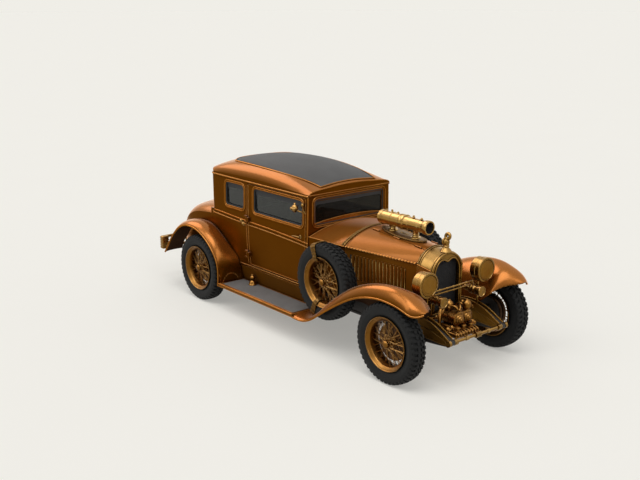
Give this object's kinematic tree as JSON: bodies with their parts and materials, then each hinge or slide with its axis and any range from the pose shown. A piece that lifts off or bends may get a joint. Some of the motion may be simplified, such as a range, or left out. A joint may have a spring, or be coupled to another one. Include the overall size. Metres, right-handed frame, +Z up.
{
  "type": "vintage coupe car",
  "caption": "Full-size vintage two-seat coupe with wire wheels, side-mounted spares, steering, opening doors, hood halves and rear lid.",
  "frame": {"origin": "on the ground, under the middle of the car's length and width", "axes": "+X forward along the car's length, +Y to the driver's left, +Z up"},
  "size_m": [4.922, 1.748, 1.8609],
  "materials": {
    "copper_paint": "satin metallic copper",
    "brass": "aged brass",
    "tyre_rubber": "matt black rubber",
    "roof_fabric": "coated grey fabric",
    "window_glass": "dark clear glass",
    "chassis_paint": "black chassis paint",
    "cast_metal": "cast iron",
    "radiator_mesh": "black honeycomb",
    "seat_leather": "brown leather",
    "dash_wood": "varnished walnut",
    "floor_boards": "dark boards",
    "mat_rubber": "grey ribbed rubber",
    "spring_steel": "black painted steel",
    "wheel_rim": "dark brown rim"
  },
  "bodies": {
    "chassis": {"blower": "brass", "cabin_body": "copper_paint", "cowl": "copper_paint", "cross_members": "chassis_paint", "dashboard": "dash_wood", "engine_block": "cast_metal", "exhaust": "chassis_paint", "fixed_glass": "window_glass", "floor": "floor_boards", "frame_rails": "chassis_paint", "front_axle": "cast_metal", "front_fenders": "copper_paint", "front_springs": "spring_steel", "front_tube": "brass", "fuel_tank": "chassis_paint", "headlamps": "brass", "hood_centre": "copper_paint", "hood_scope": "brass", "hood_sides": "copper_paint", "lamp_bar": "brass", "radiator_core": "radiator_mesh", "radiator_shell": "brass", "rear_axle": "chassis_paint", "rear_bumper": "brass", "rear_deck": "copper_paint", "rear_fenders": "copper_paint", "rear_springs": "spring_steel", "roof": "copper_paint", "roof_insert": "roof_fabric", "running_boards": "copper_paint", "seat": "seat_leather", "spare_straps": "brass", "spare_tyres": "tyre_rubber", "spare_wheels": "brass", "steering_column": "chassis_paint", "step_mats": "mat_rubber", "windshield_frame": "copper_paint", "windshield_glass": "window_glass"},
    "front_left_wheel": {"tyre_front_left": "tyre_rubber", "wheel_front_left": "brass"},
    "front_right_wheel": {"tyre_front_right": "tyre_rubber", "wheel_front_right": "brass"},
    "rear_left_wheel": {"tyre_rear_left": "tyre_rubber", "wheel_rear_left": "brass"},
    "rear_right_wheel": {"tyre_rear_right": "tyre_rubber", "wheel_rear_right": "brass"},
    "left_knuckle": {"knuckle_left": "cast_metal"},
    "right_knuckle": {"knuckle_right": "cast_metal"},
    "steering_link": {"tie_rod": "spring_steel"},
    "driver_wheel": {"steering_wheel": "wheel_rim"},
    "left_door": {"door_left": "copper_paint", "door_glass_left": "window_glass", "side_lamp_left": "brass"},
    "right_door": {"door_right": "copper_paint", "door_glass_right": "window_glass", "side_lamp_right": "brass"},
    "rear_lid": {"deck_lid": "copper_paint"},
    "left_hood": {"hood_top_left": "copper_paint"},
    "right_hood": {"hood_top_right": "copper_paint"}
  },
  "joints": [
    {"name": "right_steer", "type": "hinge", "parent": "chassis", "child": "right_knuckle", "pos_m": [1.991, -0.612, 0.419], "axis": [0, 0, 1], "range_deg": [-30, 30]},
    {"name": "left_steer", "type": "hinge", "parent": "chassis", "child": "left_knuckle", "pos_m": [1.991, 0.612, 0.419], "axis": [0, 0, 1], "range_deg": [-30, 30]},
    {"name": "link_swing", "type": "hinge", "parent": "right_knuckle", "child": "steering_link", "pos_m": [1.841, -0.612, 0.332], "axis": [0, 0, 1], "range_deg": [-30, 30]},
    {"name": "driver_steer", "type": "hinge", "parent": "chassis", "child": "driver_wheel", "pos_m": [0.104, 0.3, 1.13], "axis": [-0.891, 0, 0.454], "range_deg": [-360, 360]},
    {"name": "front_right_spin", "type": "hinge", "parent": "right_knuckle", "child": "front_right_wheel", "pos_m": [1.991, -0.778, 0.419], "axis": [0, 1, 0], "continuous": true},
    {"name": "front_left_spin", "type": "hinge", "parent": "left_knuckle", "child": "front_left_wheel", "pos_m": [1.991, 0.778, 0.419], "axis": [0, 1, 0], "continuous": true},
    {"name": "rear_right_spin", "type": "hinge", "parent": "chassis", "child": "rear_right_wheel", "pos_m": [-1.401, -0.778, 0.419], "axis": [0, 1, 0], "continuous": true},
    {"name": "rear_left_spin", "type": "hinge", "parent": "chassis", "child": "rear_left_wheel", "pos_m": [-1.401, 0.778, 0.419], "axis": [0, 1, 0], "continuous": true},
    {"name": "right_door_swing", "type": "hinge", "parent": "chassis", "child": "right_door", "pos_m": [-0.646, -0.624, 1.07], "axis": [0, 0, -1], "range_deg": [0, 70]},
    {"name": "left_door_swing", "type": "hinge", "parent": "chassis", "child": "left_door", "pos_m": [-0.646, 0.624, 1.07], "axis": [0, 0, 1], "range_deg": [0, 70]},
    {"name": "rear_lid_lift", "type": "hinge", "parent": "chassis", "child": "rear_lid", "pos_m": [-1.549, 0, 1.207], "axis": [0, 1, 0], "range_deg": [0, 70]},
    {"name": "right_hood_lift", "type": "hinge", "parent": "chassis", "child": "right_hood", "pos_m": [0.969, -0.121, 1.28057], "axis": [-0.9961, 0, 0.0883], "range_deg": [0, 60]},
    {"name": "left_hood_lift", "type": "hinge", "parent": "chassis", "child": "left_hood", "pos_m": [0.969, 0.121, 1.28057], "axis": [0.9961, 0, -0.0883], "range_deg": [0, 60]}
  ],
  "couplings": [
    {"joint": "left_steer", "follows": "right_steer", "ratio": 1},
    {"joint": "link_swing", "follows": "right_steer", "ratio": -1},
    {"joint": "driver_steer", "follows": "right_steer", "ratio": 12}
  ]
}
